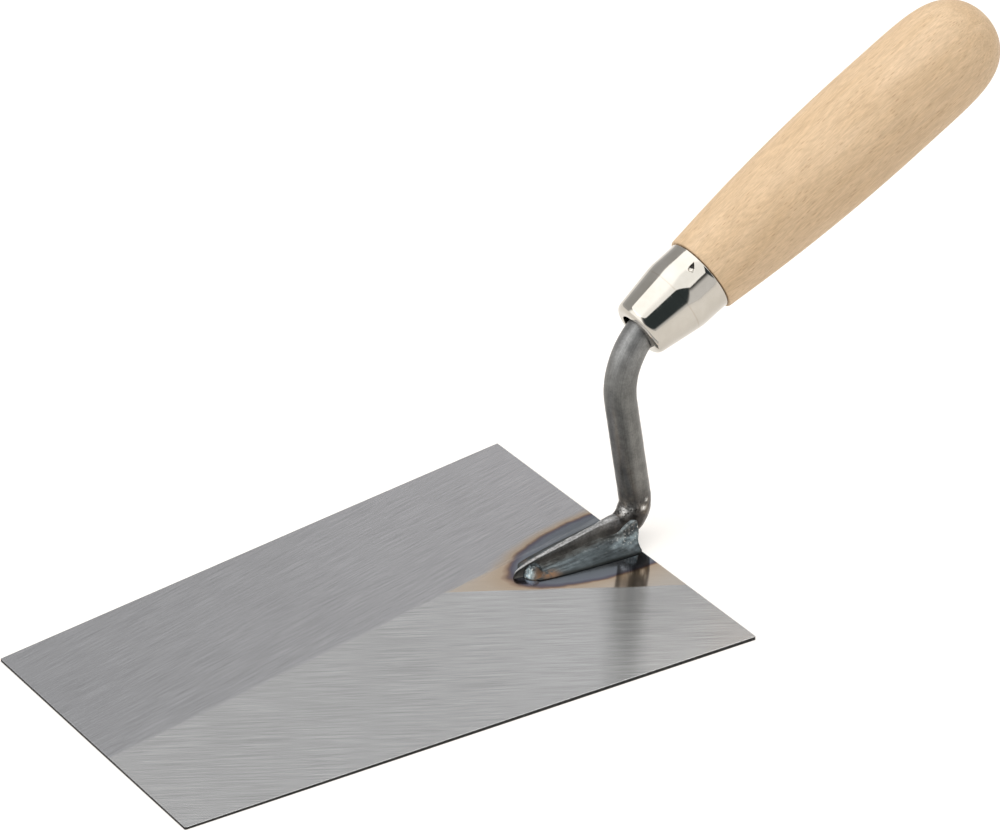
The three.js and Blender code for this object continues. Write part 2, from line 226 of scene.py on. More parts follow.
class Graph:
    """A node tree, with one short call for each node. Kinds are given without ShaderNode."""

    def __init__(self, tree):
        self.tree = tree
        tree.nodes.clear()

    def feed(self, socket, value):
        if isinstance(value, bpy.types.NodeSocket):
            self.tree.links.new(value, socket)
        elif isinstance(value, tuple) and len(value) == 3 and socket.type == "RGBA":
            socket.default_value = (*value, 1)
        else:
            socket.default_value = value

    def node(self, kind, inputs=None, **settings):
        made = self.tree.nodes.new("ShaderNode" + kind)
        for name, value in settings.items():
            setattr(made, name, value)
        for key, value in (inputs or {}).items():
            self.feed(made.inputs[key], value)
        return made

    def math(self, operation, *values):
        return self.node("Math", dict(enumerate(values)), operation=operation).outputs[0]

    def add(self, a, b):
        return self.math("ADD", a, b)

    def times(self, a, b):
        return self.math("MULTIPLY", a, b)

    def one_minus(self, value):
        return self.math("SUBTRACT", 1.0, value)

    def smooth(self, value, low, high, to_low=0.0, to_high=1.0):
        """Goes smoothly from to_low to to_high as value goes from low to high."""
        inputs = {0: value, 1: low, 2: high, 3: to_low, 4: to_high}
        return self.node("MapRange", inputs, interpolation_type="SMOOTHSTEP").outputs[0]

    def window(self, value, low, low_end, high, high_end):
        """1 from low_end to high, with a smooth fall to 0 at low and at high_end."""
        risen = self.smooth(value, low, low_end)
        return self.times(risen, self.one_minus(self.smooth(value, high, high_end)))

    def vector(self, x=0.0, y=0.0, z=0.0):
        return self.node("CombineXYZ", {0: x, 1: y, 2: z}).outputs[0]

    def separate(self, vector):
        return self.node("SeparateXYZ", {0: vector}).outputs

    def noise(self, vector, scale=1.0, detail=2.0, roughness=0.5, distortion=0.0):
        inputs = {"Vector": vector, "Scale": scale, "Detail": detail, "Roughness": roughness}
        inputs["Distortion"] = distortion
        return self.node("TexNoise", inputs).outputs[0]

    def cells(self, vector):
        """Distance to the nearest of many scattered points, and that point's random colour."""
        made = self.node("TexVoronoi", {"Vector": vector, "Scale": 1.0})
        return made.outputs["Distance"], made.outputs["Color"]

    def mix(self, share, a, b, blend="MIX"):
        inputs = {0: share, 6: a, 7: b}
        return self.node("Mix", inputs, data_type="RGBA", blend_type=blend).outputs[2]

    def mix_vector(self, share, a, b):
        inputs = {0: share, 4: a, 5: b}
        return self.node("Mix", inputs, data_type="VECTOR").outputs[1]

    def mix_value(self, share, a, b):
        return self.node("Mix", {0: share, 2: a, 3: b}, data_type="FLOAT").outputs[0]

    def ramp(self, value, stops):
        """A colour that follows (place, colour) stops."""
        made = self.node("ValToRGB", {0: value})
        elements = made.color_ramp.elements
        while len(elements) < len(stops):
            elements.new(1.0)
        for element, (position, colour) in zip(elements, stops):
            element.position = position
            element.color = (*colour, 1)
        return made.outputs[0]

    def scale_colour(self, colour, factor):
        """The colour, brighter or darker by a factor that is a number or a node's value."""
        grey = self.node("CombineColor", {0: factor, 1: factor, 2: factor}).outputs[0]
        return self.mix(1.0, colour, grey, blend="MULTIPLY")

    def vary(self, colour, value, low, high, dark, light):
        """The colour, times dark where value is low and times light where it is high."""
        return self.scale_colour(colour, self.smooth(value, low, high, dark, light))

    def bump(self, height, distance):
        return self.node("Bump", {"Height": height, "Distance": distance}).outputs[0]

    def mask(self, name):
        """A value that the mesh holds for each of its points."""
        return self.node("Attribute", attribute_name=name).outputs["Fac"]

    def position(self):
        return self.node("TexCoord").outputs["Object"]


def new_material(name, build, **plain):
    """A material with one Principled shader. build makes its nodes and returns its inputs."""
    material = bpy.data.materials.new(name)
    material.use_nodes = True
    graph = Graph(material.node_tree)
    shader = graph.node("BsdfPrincipled")
    for key, value in {**plain, **build(graph)}.items():
        graph.feed(shader.inputs[key], value)
    graph.node("OutputMaterial", {"Surface": shader.outputs[0]})
    return material


# ---- materials ----


def streaks(graph, x, y, angle, width, length, detail, seed=0.0):
    """Noise drawn out into marks at an angle from +Y towards +X, of about that width and length."""
    along = graph.add(graph.times(x, sin(angle)), graph.times(y, cos(angle)))
    across = graph.add(graph.times(x, cos(angle)), graph.times(y, -sin(angle)))
    point = graph.vector(graph.times(across, 1 / width), graph.times(along, 1 / length), seed)
    return graph.noise(point, 1.0, detail, 0.6)


def scratches(graph, x, y, angle, seed):
    """Fine light and dark scratches, as a value of about -1 to 1 that is 0 between them."""
    light = streaks(graph, x, y, angle + radians(1.5), 0.30 * MM, 13 * MM, 1.0, seed)
    dark = streaks(graph, x, y, angle - radians(1.5), 0.34 * MM, 10 * MM, 1.0, seed + 20)
    return graph.add(graph.smooth(light, 0.58, 0.80), graph.smooth(dark, 0.56, 0.80, 0.0, -1.0))


def past_border(graph, x, y, at_rear, side, angle):
    """How far a place is inside a pass whose border meets the rear edge at at_rear."""
    out = graph.times(graph.add(x, -at_rear), side * cos(angle))
    return graph.add(out, graph.times(graph.add(y, -REAR_EDGE), -sin(angle)))


def blade_marks(graph, x, y):
    """Belt marks, scratches, the share of the left pass, and how far the steel is unground."""
    left_marks = streaks(graph, x, y, -LEFT_PASS_ANGLE - radians(3), 0.45 * MM, 16 * MM, 2.0)
    left_fine = scratches(graph, x, y, -LEFT_PASS_ANGLE, 4.0)
    right_marks = streaks(graph, x, y, RIGHT_PASS_ANGLE, 0.4 * MM, 22 * MM, 2.0, seed=9)
    right_fine = scratches(graph, x, y, RIGHT_PASS_ANGLE, 13.0)

    left_side = past_border(graph, x, y, LEFT_PASS_AT_REAR, -1, LEFT_PASS_ANGLE)
    right_side = past_border(graph, x, y, RIGHT_PASS_AT_REAR, 1, RIGHT_PASS_ANGLE)
    ragged_left = graph.add(left_side, graph.times(graph.add(left_marks, -0.5), 4.5 * MM))
    ragged_right = graph.add(right_side, graph.times(graph.add(right_marks, -0.5), 2.5 * MM))
    left = graph.smooth(ragged_left, -0.8 * MM, 0.8 * MM)
    right = graph.smooth(ragged_right, -0.3 * MM, 0.5 * MM)
    unground = graph.times(graph.one_minus(left), graph.one_minus(right))

    coarse = graph.mix_value(left, right_marks, left_marks)
    fine = graph.mix_value(left, right_fine, left_fine)
    return coarse, fine, left, unground


def tint_place(graph, x, y):
    """1 on the purple ring of the weld's heat tint, and 0 below the heel of the foot."""
    wander = graph.noise(graph.vector(x, y), 180.0, 2.0)
    ahead = graph.times(graph.add(y, -REAR_EDGE), -1 / TINT_LENGTH)
    across = graph.times(graph.add(x, -TINT_TO_RIGHT), 1 / TINT_HALF_WIDTH)
    squares = graph.add(graph.times(across, across), graph.times(ahead, ahead))
    return graph.add(graph.math("SQRT", squares), graph.times(graph.add(wander, -0.5), 0.08))


TINT_REACH = 1.6  # up to where the tint's colours are given
TINT_STOPS = (
    (0.25, (0.05, 0.05, 0.05)),
    (0.45, (0.21, 0.22, 0.225)),
    (0.75, (0.24, 0.268, 0.298)),
    (0.92, (0.265, 0.288, 0.335)),
    (0.98, (0.18, 0.165, 0.215)),
    (1.01, (0.30, 0.21, 0.18)),
    (1.03, (0.55, 0.395, 0.29)),
    (1.06, (0.75, 0.595, 0.445)),
    (1.20, (0.80, 0.67, 0.54)),
    (1.60, (0.81, 0.73, 0.645)),
)

# Colour of the two passes from the front edge to the rear edge: the steel's grey with painted
# reflection, the left pass darker than the right and both lighter towards the rear
LEFT_PASS_SHEEN_STOPS = (
    (0.0, (0.370, 0.370, 0.380)),
    (0.5, (0.425, 0.422, 0.433)),
    (1.0, (0.515, 0.508, 0.522)),
)
RIGHT_PASS_SHEEN_STOPS = (
    (0.0, (0.425, 0.425, 0.425)),
    (0.45, (0.435, 0.435, 0.435)),
    (0.8, (0.495, 0.495, 0.495)),
    (1.0, (0.555, 0.555, 0.555)),
)


def build_blade_steel(graph):
    x, y = graph.separate(graph.position())[:2]
    coarse, fine, left, unground = blade_marks(graph, x, y)
    clouds = graph.noise(graph.vector(x, y), 25.0, 3.0)
    contrast = graph.mix_value(left, 0.66, 0.45)
    streak = graph.add(graph.times(graph.add(coarse, -0.5), contrast), graph.times(fine, 0.15))
    shade = graph.add(graph.add(1.0, streak), graph.times(graph.add(clouds, -0.5), 0.08))
    rearward = graph.math("DIVIDE", graph.add(y, -FRONT_EDGE), REAR_EDGE - FRONT_EDGE)
    # The passes' greys carry painted reflection: darker on the left pass, lighter towards the rear
    left_sheen_grey = graph.ramp(rearward, LEFT_PASS_SHEEN_STOPS)
    right_sheen_grey = graph.ramp(rearward, RIGHT_PASS_SHEEN_STOPS)
    ground = graph.scale_colour(graph.mix(left, right_sheen_grey, left_sheen_grey), shade)

    # Heat tint on the unground wedge: straw outside, then brown, purple and blue towards the weld
    reach = tint_place(graph, x, y)
    stops = [(share / TINT_REACH, colour) for share, colour in TINT_STOPS]
    tinted = graph.ramp(graph.times(reach, 1 / TINT_REACH), stops)
    tinted = graph.scale_colour(tinted, graph.add(1.0, graph.times(fine, 0.06)))

    # The ring still shows through the left pass, because heat came after the belt
    glow = graph.times(graph.one_minus(graph.smooth(reach, 1.03, 1.25)), left)
    colour = graph.mix(unground, ground, tinted)
    faded = graph.scale_colour(tinted, graph.mix_value(left, 1.0, 0.70))
    colour = graph.mix(glow, colour, faded)

    roughness = graph.mix_value(unground, 0.21, 0.07)
    roughness = graph.add(roughness, graph.times(graph.add(coarse, -0.5), 0.04))
    normal = graph.bump(graph.add(coarse, graph.times(fine, 0.4)), 0.003 * MM)

    left_across = (cos(LEFT_PASS_ANGLE), sin(LEFT_PASS_ANGLE), 0)
    right_across = (cos(RIGHT_PASS_ANGLE), -sin(RIGHT_PASS_ANGLE), 0)
    tangent = graph.mix_vector(left, right_across, left_across)
    looks = {"Base Color": colour, "Roughness": roughness, "Normal": normal, "Tangent": tangent}
    return {**looks, "Metallic": graph.mix_value(unground, 0.88, 1.0)}


# Near-black: partly the dark sheared steel, partly painted shade along the blade's edge
def build_cut_edge(graph):
    grain = graph.noise(graph.position(), 900.0, 3.0)
    colour = graph.ramp(grain, ((0.3, (0.008, 0.008, 0.008)), (0.7, (0.035, 0.034, 0.032))))
    return {"Base Color": colour, "Normal": graph.bump(grain, 0.03 * MM)}


# Colour of the rod's drawn scale, from the blade up to the ferrule's mouth
STEM_STOPS = (
    (0.15, (0.235, 0.228, 0.215)),
    (0.38, (0.160, 0.158, 0.150)),
    (0.76, (0.152, 0.152, 0.145)),
    (0.95, (0.240, 0.240, 0.236)),
)
BROWN_STOPS = (
    (0.38, (0.012, 0.010, 0.009)),
    (0.55, (0.042, 0.034, 0.028)),
    (0.72, (0.14, 0.11, 0.08)),
)


def build_forged_steel(graph):
    spot = graph.position()
    names = "crest", "flank", "scorched", "painted_highlight"
    crest, flank, scorched, painted_highlight = map(graph.mask, names)
    scale = graph.noise(spot, 260.0, 4.0, 0.6)
    pits = graph.noise(spot, 1500.0, 3.0, 0.6)
    risen = graph.math("DIVIDE", graph.separate(spot)[2], MOUTH_HEIGHT)
    plain = graph.vary(graph.ramp(risen, STEM_STOPS), scale, 0.3, 0.7, 0.84, 1.16)
    brown = graph.ramp(scale, BROWN_STOPS)
    olive = graph.ramp(scale, ((0.35, (0.035, 0.033, 0.029)), (0.65, (0.088, 0.083, 0.074))))
    colour = graph.mix(scorched, plain, graph.mix(flank, brown, olive))
    bright = graph.ramp(pits, ((0.35, (0.27, 0.265, 0.255)), (0.65, (0.43, 0.43, 0.43))))
    colour = graph.mix(crest, colour, bright)
    # Painted highlights: near-white base colour and full metal in spots on the lower bend
    highlight_share = graph.times(painted_highlight, graph.smooth(pits, 0.34, 0.50))
    colour = graph.mix(highlight_share, colour, (0.80, 0.79, 0.76))

    # Lines from drawing the rod, which run along it
    drawn = graph.vector(graph.times(graph.mask("drawn"), 110.0))
    lines = graph.noise(drawn, 1.0, 3.0, 0.6)
    colour = graph.vary(colour, lines, 0.25, 0.75, 0.80, 1.20)
    colour = graph.vary(colour, pits, 0.25, 0.75, 0.88, 1.12)
    dull = graph.smooth(risen, 0.6, 0.85, 0.34, 0.50)
    roughness = graph.add(dull, graph.smooth(scale, 0.3, 0.7, -0.04, 0.04))
    roughness = graph.mix_value(scorched, roughness, 0.30)
    roughness = graph.mix_value(flank, roughness, 0.44)
    metallic = graph.one_minus(graph.times(graph.times(scorched, graph.one_minus(crest)), 0.55))
    metallic = graph.mix_value(highlight_share, metallic, 1.0)
    height = graph.add(graph.times(pits, 0.7), graph.times(lines, 0.5))
    normal = graph.bump(height, 0.04 * MM)
    return {"Base Color": colour, "Roughness": roughness, "Metallic": metallic, "Normal": normal}


WELD_STOPS = (
    (0.30, (0.028, 0.034, 0.037)),
    (0.50, (0.066, 0.080, 0.086)),
    (0.74, (0.125, 0.155, 0.165)),
)
BLEND_STOPS = ((0.35, (0.026, 0.025, 0.022)), (0.65, (0.056, 0.055, 0.050)))


def build_weld_metal(graph):
    spot = graph.position()
    x, y, z = graph.separate(spot)
    flow = graph.vector(graph.times(x, 900.0), graph.times(y, 130.0), graph.times(z, 900.0))
    ripples = graph.noise(flow, 1.0, 4.0, 0.6, 0.4)
    patches = graph.noise(spot, 330.0, 3.0, 0.6)
    colour = graph.ramp(ripples, WELD_STOPS)
    colour = graph.mix(graph.mask("blend"), colour, graph.ramp(patches, BLEND_STOPS))
    crust = graph.times(graph.mask("crust"), graph.smooth(patches, 0.42, 0.60))
    colour = graph.mix(crust, colour, (0.38, 0.47, 0.49))
    # Painted glints: spots of near-white base colour on the crust
    glint_noise = graph.noise(spot, 1300.0, 2.0)
    painted_glint = graph.times(graph.mask("crust"), graph.smooth(glint_noise, 0.60, 0.68))
    colour = graph.mix(painted_glint, colour, (0.80, 0.78, 0.72))
    # Painted shade: near-black along the weld's toe, in the crater's pit and round the crater's rim
    # on its front side
    colour = graph.mix(graph.mask("painted_shade"), colour, (0.012, 0.014, 0.013))
    rust = graph.times(graph.mask("rust"), graph.smooth(patches, 0.38, 0.52))
    colour = graph.mix(rust, colour, (0.19, 0.092, 0.034))
    metallic = graph.mix_value(rust, 0.6, 0.1)
    roughness = graph.smooth(ripples, 0.3, 0.7, 0.42, 0.30)
    height = graph.add(graph.add(ripples, graph.times(patches, 0.4)), graph.times(painted_glint, 0.5))
    normal = graph.bump(height, 0.12 * MM)
    return {"Base Color": colour, "Roughness": roughness, "Metallic": metallic, "Normal": normal}


def build_nickel(graph):
    spot = graph.position()
    smudge = graph.noise(spot, 120.0, 3.0, 0.6)
    fine = graph.noise(spot, 2500.0, 2.0)
    colour = graph.ramp(smudge, ((0.3, (0.478, 0.450, 0.402)), (0.7, (0.534, 0.504, 0.458))))
    colour = graph.mix(graph.times(graph.mask("line"), 0.22), colour, (0.30, 0.22, 0.15))
    roughness = graph.smooth(smudge, 0.3, 0.75, 0.05, 0.13)
    return {"Base Color": colour, "Roughness": roughness, "Normal": graph.bump(fine, 0.001 * MM)}


# Near-black: painted shade in the nib's punched pocket
def build_pocket_shade(graph):
    grain = graph.noise(graph.position(), 3000.0, 2.0)
    colour = graph.ramp(grain, ((0.3, (0.01, 0.01, 0.01)), (0.7, (0.05, 0.045, 0.04))))
    return {"Base Color": colour}


def along_handle(graph):
    """Object coordinates turned so that Z runs along the handle, in the ferrule's own frame."""
    turn = {"Vector": graph.position(), "Axis": (1.0, 0.0, 0.0), "Angle": pi / 2 - HANDLE_ANGLE}
    rotated = graph.node("VectorRotate", turn, rotation_type="AXIS_ANGLE")
    return graph.separate(rotated.outputs[0])


def drawn_out(graph, x, y, z, width, length):
    """A place for noise whose marks are about that wide, and that long along Z."""
    scaled = [graph.times(value, 1 / size) for value, size in ((x, width), (y, width), (z, length))]
    return graph.vector(*scaled)


BEECH_STOPS = (
    (0.2, (0.540, 0.376, 0.221)),
    (0.5, (0.583, 0.417, 0.257)),
    (0.8, (0.627, 0.457, 0.294)),
)


def build_beech(graph):
    x, y, z = along_handle(graph)
    grain = graph.noise(drawn_out(graph, x, y, z, 0.32 * MM, 3.2 * MM), 1.0, 3.0, 0.6, 0.2)
    tone = graph.noise(drawn_out(graph, x, y, z, 6 * MM, 34 * MM), 1.0, 3.0, 0.5, 0.6)
    colour = graph.vary(graph.ramp(tone, BEECH_STOPS), grain, 0.3, 0.7, 0.88, 1.09)
    years = graph.noise(drawn_out(graph, x, y, z, 8 * MM, 36 * MM), 1.0, 1.5, 0.5, 0.9)
    years = graph.math("PINGPONG", graph.times(years, 13.0), 1.0)
    colour = graph.vary(colour, years, 0.0, 1.0, 0.955, 1.03)

    # Rays, cut through as short dark spindles that lie along the grain
    far, chance = graph.cells(drawn_out(graph, x, y, z, 0.6 * MM, 3.0 * MM))
    present = graph.smooth(graph.separate(chance)[0], 0.45, 0.85)
    ray = graph.times(graph.one_minus(graph.smooth(far, 0.10, 0.38)), present)
    colour = graph.mix(graph.times(ray, 0.58), colour, (0.36, 0.225, 0.125))

    roughness = graph.smooth(grain, 0.3, 0.7, 0.62, 0.5)
    height = graph.add(grain, graph.times(ray, -0.8))
    return {"Base Color": colour, "Roughness": roughness, "Normal": graph.bump(height, 0.03 * MM)}


# ---- blade ----


def blade_steps(length, pitch):
    """Places across a length, close together near both ends so that the corners come out round."""
    near = [share * CORNER_RADIUS for share in (0, 0.14, 0.3, 0.5, 0.75, 1)]
    count = max(2, round((length - 2 * CORNER_RADIUS) / pitch))
    middle = [lerp(CORNER_RADIUS, length - CORNER_RADIUS, k / count) for k in range(1, count)]
    return near + middle + [length - step for step in reversed(near)]


def round_corner(a, b):
    """Moves a point that is a from one edge and b from the other onto rounded rings."""
    ring = min(a, b)
    if max(a, b) >= CORNER_RADIUS:
        return a, b
    arc_radius = CORNER_RADIUS - ring
    if arc_radius < 1e-9:
        return a, b
    turn = (CORNER_RADIUS - max(a, b)) / arc_radius * pi / 4
    if b < a:
        turn = pi / 2 - turn
    return CORNER_RADIUS - arc_radius * cos(turn), CORNER_RADIUS - arc_radius * sin(turn)


def blade_thickness(y):
    share = clamp((y - FRONT_EDGE) / (REAR_EDGE - FLAT_LENGTH - FRONT_EDGE))
    return lerp(FRONT_THICKNESS, BLADE_TOP, share)


def blade_sheet(height):
    """A grid of points over the blade's outline, each at a height given by its place."""
    length, width = REAR_EDGE - FRONT_EDGE, 2 * REAR_HALF_WIDTH
    pitch = 3 * MM
    grid = []
    for behind in blade_steps(length, pitch):
        half = lerp(FRONT_HALF_WIDTH, REAR_HALF_WIDTH, behind / length)
        row = []
        for from_left in blade_steps(width, pitch):
            side = 1 if from_left / width > 0.5 else -1
            from_side = min(from_left, width - from_left)
            from_end = min(behind, length - behind)
            new_side, new_end = round_corner(from_side, from_end)
            x = side * (REAR_HALF_WIDTH - new_side) * half / REAR_HALF_WIDTH
            y = FRONT_EDGE + new_end if behind < length / 2 else REAR_EDGE - new_end
            edge = min(new_side, new_end)
            row.append(Vector((x, y, height(x, y, edge))))
        grid.append(row)
    return grid


def top_height(x, y, edge):
    wave = 0.5 + 0.5 * rough_noise(x / (16 * MM), y / (40 * MM), octaves=2)
    broken = EDGE_BREAK * (1 - smoothstep(edge, 0, 1.6 * EDGE_BREAK))
    return blade_thickness(y) - 0.02 * MM * clamp(wave) - broken


def bottom_height(x, y, edge):
    return 0.6 * EDGE_BREAK * (1 - smoothstep(edge, 0, EDGE_BREAK))


def blade_piece():
    top = blade_sheet(top_height)
    bottom = blade_sheet(bottom_height)
    rows, columns = len(top), len(top[0])
    points = [point for grid in (top, bottom) for row in grid for point in row]
    offset = rows * columns
    faces = []
    chosen = []
    for r in range(rows - 1):
        for c in range(columns - 1):
            a = r * columns + c
            quad = (a, a + 1, a + 1 + columns, a + columns)
            faces.append(quad)
            faces.append(tuple(offset + k for k in reversed(quad)))
            # The top's outermost cells take the near-black edge too: painted shade where the bevel
            # would catch a highlight
            outermost = r in (0, rows - 2) or c in (0, columns - 2)
            chosen += [int(outermost), 0]
    rim = list(range(columns))
    rim += [r * columns + columns - 1 for r in range(1, rows)]
    rim += [(rows - 1) * columns + c for c in range(columns - 2, -1, -1)]
    rim += [r * columns for r in range(rows - 2, 0, -1)]
    for here, there in zip(rim, rim[1:] + rim[:1]):
        faces.append((there, here, offset + here, offset + there))
        chosen.append(1)
    steel = new_material("ground_steel", build_blade_steel, Anisotropic=1.0)
    edge = new_material("cut_edge", build_cut_edge, Roughness=0.6, **{"Specular IOR Level": 0.2})
    make_piece("steel_blade", "blade", (points, faces), [steel, edge], 30, chosen)


# ---- neck ----


def on_handle_axis(distance):
    return (
        REAR_EDGE + MOUTH_BEHIND_BLADE + distance * cos(HANDLE_ANGLE),
        MOUTH_HEIGHT + distance * sin(HANDLE_ANGLE),
    )


def arc(start, radius, from_heading, to_heading, steps):
    """Points and headings on an arc. Headings are angles from +Y towards +Z."""
    side = copysign(radius, to_heading - from_heading)
    y = start[0] - side * sin(from_heading)
    z = start[1] + side * cos(from_heading)
    headings = [lerp(from_heading, to_heading, k / steps) for k in range(steps + 1)]
    return [(y + side * sin(h), z - side * cos(h), h) for h in headings]


TANG_HEADING = HANDLE_ANGLE + pi
STEM_HEADING = 1.5 * pi + STEM_LEAN
FOOT_HEADING = pi


def rod_stations():
    """(y, z, heading, radius, bent) from the tang's tip to the end of the lower bend."""
    stations = []
    tang_steps = 10
    for k in range(tang_steps):
        share = k / tang_steps
        distance = UPPER_BEND_INSIDE + TANG_LENGTH * (1 - share)
        radius = lerp(TANG_TIP_RADIUS, ROD_RADIUS, share)
        stations.append((*on_handle_axis(distance), TANG_HEADING, radius, 0))
    start = on_handle_axis(UPPER_BEND_INSIDE)
    upper = arc(start, UPPER_BEND_RADIUS, TANG_HEADING, STEM_HEADING, 70)
    top_y, top_z = upper[-1][:2]
    foot_axis = BLADE_TOP + RIDGE_REAR_HEIGHT / 2
    drop = top_z - foot_axis - LOWER_BEND_RADIUS * (1 + sin(STEM_LEAN))
    bottom = (top_y + drop * tan(STEM_LEAN), top_z - drop)
    stem = []
    for share in shares(60)[:-1]:
        stem.append((lerp(top_y, bottom[0], share), lerp(top_z, bottom[1], share), STEM_HEADING))
    lower_steps = 48
    lower = arc(bottom, LOWER_BEND_RADIUS, STEM_HEADING, FOOT_HEADING, lower_steps)
    stations += [(*station, ROD_RADIUS, 0) for station in upper + stem]
    stations += [(*station, ROD_RADIUS, k / lower_steps) for k, station in enumerate(lower)]
    return stations


def ridge_height(distance, rear_end):
    """Height of the foot's ridge above the blade, at a distance in front of the rear edge."""
    nose_start = FOOT_TIP - NOSE_LENGTH
    slope = (RIDGE_REAR_HEIGHT - RIDGE_FRONT_HEIGHT) / (nose_start - rear_end)
    if distance <= nose_start:
        return RIDGE_REAR_HEIGHT - slope * (distance - rear_end)
    along = (distance - nose_start) / NOSE_LENGTH
    height = lerp(RIDGE_FRONT_HEIGHT, NOSE_TIP_HEIGHT, along ** 1.2)
    return height * sqrt(max(0.1, 1 - along ** 14))


def foot_half_width(distance, rear_end):
    along = clamp((distance - rear_end) / (FOOT_TIP - NOSE_LENGTH - rear_end))
    nose = clamp((distance - FOOT_TIP + NOSE_LENGTH) / NOSE_LENGTH)
    width = lerp(FOOT_REAR_HALF_WIDTH, FOOT_FRONT_HALF_WIDTH, along)
    return width * (1 - NOSE_NARROWING * nose * nose)


def hollow_side(half_width, up):
    """How far the foot's side is from its middle, at a share of its height."""
    ridge = min(RIDGE_HALF_WIDTH, RIDGE_SHARE * half_width)
    return lerp(half_width, ridge, up) - 4 * FOOT_HOLLOW * up * (1 - up)


def wedge_point(angle, half_height, half_width):
    """A point of the foot's section: flat bottom, hollow sides and a narrow ridge."""
    corner = pi / 3
    rise = clamp(sin(angle) / sin(corner), -1, 1)
    up = (rise + 1) / 2
    side = hollow_side(half_width, up)
    across = clamp(cos(angle) / cos(corner), -1, 1)
    if abs(rise) < 1:
        across = copysign(1, across)
    return across * side, rise * half_height


def soften(ring, reach):
    """Rounds a section's corners by averaging each point with its neighbours."""
    count = len(ring)
    shifts = range(-reach, reach + 1)
    total = (reach + 1) ** 2
    softened = []
    for k in range(count):
        near = [(reach + 1 - abs(shift), ring[(k + shift) % count]) for shift in shifts]
        softened.append(tuple(sum(w * point[axis] for w, point in near) / total for axis in (0, 1)))
    return softened


def forging(angle, travel, strength):
    """Dents of a forged surface, in metres, at an angle round the rod and a length along it."""
    x, y = cos(angle), sin(angle)
    dents = rough_noise(2.2 * x, 2.2 * y, travel / (3.0 * MM), 3)
    flats = rough_noise(0.8 * x + 5, 0.8 * y, travel / (9 * MM), 2)
    return (0.05 * flats + 0.06 * dents * strength) * MM


# Places on the lower bend with painted highlights, spots of near-white base colour, in millimetres:
# across, behind the rear edge, height, and reach
HIGHLIGHT_SPOTS = (
    (1.2, 2.4, 12.8, 2.0),
    (1.0, 0.2, 10.3, 1.5),
    (3.4, 0.4, 11.9, 0.6),
    (4.6, 3.9, 12.1, 0.8),
    (4.7, 5.0, 14.5, 0.5),
    (4.0, -2.0, 6.9, 0.6),
)
HIGHLIGHT_PLACES = [
    (Vector((x * MM, REAR_EDGE + behind * MM, z * MM)), reach * MM)
    for x, behind, z, reach in HIGHLIGHT_SPOTS
]


def neck_piece():
    rod = rod_stations()
    rear_end = REAR_EDGE - rod[-1][0]
    foot = []
    for share in shares(110):
        distance = lerp(rear_end, FOOT_TIP, sin(share * pi / 2))
        z = BLADE_TOP + ridge_height(distance, rear_end) / 2
        foot.append((REAR_EDGE - distance, z, FOOT_HEADING, ROD_RADIUS, 1))
    angles = turns(96)
    rings = []
    crest, flank, drawn, scorched, painted_highlight = [], [], [], [], []
    travel = 0
    before = rod[0]
    for station in rod + foot:
        y, z, heading, radius, bent = station
        travel += hypot(y - before[0], z - before[1])
        before = station
        distance = REAR_EDGE - y
        flattened = smoothstep(bent, BEND_FLATTENED_FROM, 1)
        finished = smoothstep(distance, rear_end, rear_end + WEDGED_BEYOND_BEND)
        wedged = lerp(finished, flattened, WEDGED_IN_BEND) if bent else 0
        half_height = ridge_height(max(distance, rear_end), rear_end) / 2
        half_width = foot_half_width(distance, rear_end)
        squash = lerp(1, half_height / radius, flattened)
        section = []
        for angle in angles:
            wedge = wedge_point(angle, half_height, half_width)
            section.append((
                lerp(radius * cos(angle), wedge[0], wedged),
                lerp(radius * squash * sin(angle), wedge[1], wedged),
            ))
        section = soften(section, 2)
        burnt = smoothstep(z, 24 * MM, 11 * MM)
        dented = 0.6 + 2.2 * smoothstep(z, 20 * MM, 12 * MM)
        ring = []
        for k, (across, up) in enumerate(section):
            angle = angles[k]
            grow = 1
            if radius == ROD_RADIUS:
                grow += forging(angle, travel, dented) / ROD_RADIUS
            point = Vector((
                across * grow,
                y + up * grow * sin(heading),
                z - up * grow * cos(heading),
            ))
            ring.append(point)
            # How near the point is to a painted highlight
            shine = [bell((point - middle).length, 0, reach) for middle, reach in HIGHLIGHT_PLACES]
            painted_highlight.append(max(shine))
            rise = sin(angle)
            on_ridge = smoothstep(rise, 0.84, 0.95) + 0.4 * smoothstep(rise, 0.3, 0.86)
            on_ridge *= wedged * smoothstep(bent, 0.9, 1)
            crest.append(clamp(on_ridge) * smoothstep(distance, FOOT_TIP, FOOT_TIP - 1 * MM))
            flank.append(wedged * smoothstep(distance, 2 * MM, 11 * MM))
            drawn.append(k / len(angles))
            scorched.append(burnt)
        rings.append(ring)
    masks = {"crest": crest, "flank": flank, "drawn": drawn, "scorched": scorched}
    masks["painted_highlight"] = painted_highlight
    steel = new_material("forged_steel", build_forged_steel)
    make_piece("forged_neck", "neck", loft(rings), [steel], 60, masks=masks)


# ---- welds ----


def curve(a, b, c, steps):
    """The points after a on a curve that leaves a towards b and comes to c from b."""
    points = []
    for share in shares(steps):
        rest = 1 - share
        weights = (rest * rest, 2 * rest * share, share * share)
        points.append(tuple(sum(w * v for w, v in zip(weights, values)) for values in zip(a, b, c)))
    return points


BEND_END = 4 * MM  # about where the lower bend ends, in front of the rear edge
WELD_FOLLOWS_FOOT = 6 * MM  # from here forward


def foot_side(distance, height):
    """How far the foot's side is from the middle, at a height above the blade."""
    ahead = max(distance, WELD_FOLLOWS_FOOT)
    up = clamp(height / ridge_height(ahead, BEND_END))
    return hollow_side(foot_half_width(ahead, BEND_END), up)


